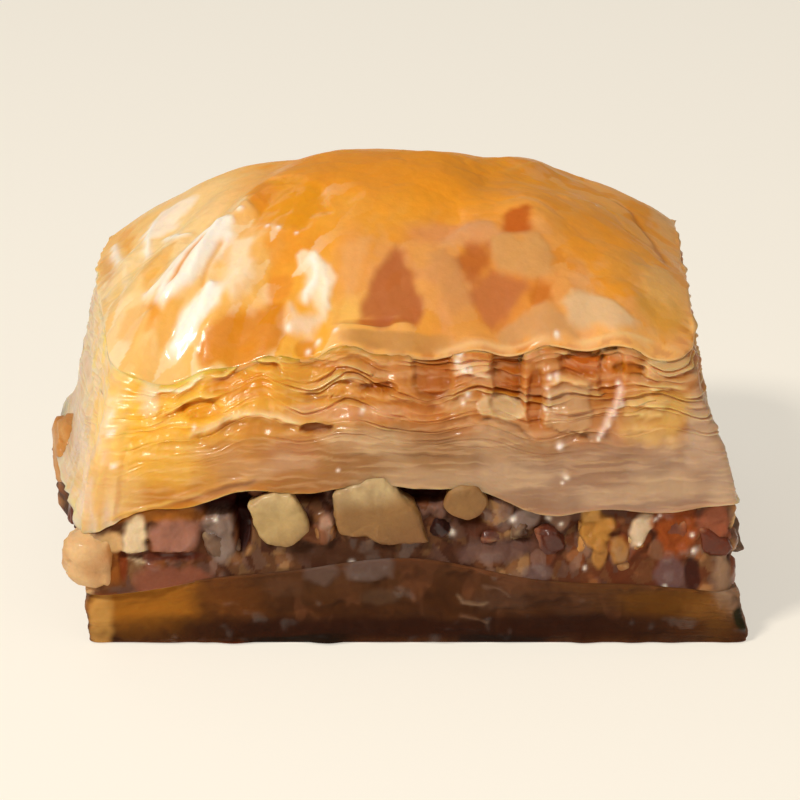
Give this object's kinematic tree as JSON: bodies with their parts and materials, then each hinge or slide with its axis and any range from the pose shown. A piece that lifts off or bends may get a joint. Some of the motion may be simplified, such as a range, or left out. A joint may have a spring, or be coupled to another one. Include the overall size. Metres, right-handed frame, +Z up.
{
  "type": "piece of walnut baklava",
  "caption": "One cut piece of layered syrup pastry: a soaked bed, a band of chopped walnuts and a tall puffed stack under a domed, glazed crust.",
  "frame": {"origin": "middle of the piece's own box, on the flat face that it rests on", "axes": "+X along the front cut face to the right, -Y out of the front cut face, +Z up through the crust"},
  "size_m": [0.0516, 0.0412, 0.0298],
  "materials": {
    "soaked_pastry": "thin pastry sheets soaked dark amber with syrup, wet",
    "walnut": "chopped walnut, cream cut faces and brown skins, moist with syrup",
    "glazed_pastry": "baked golden pastry sheets, amber on top, glazed with syrup"
  },
  "bodies": {
    "root": {"soaked_bed": "soaked_pastry", "walnut_filling": "walnut", "puffed_stack": "glazed_pastry"}
  },
  "joints": []
}
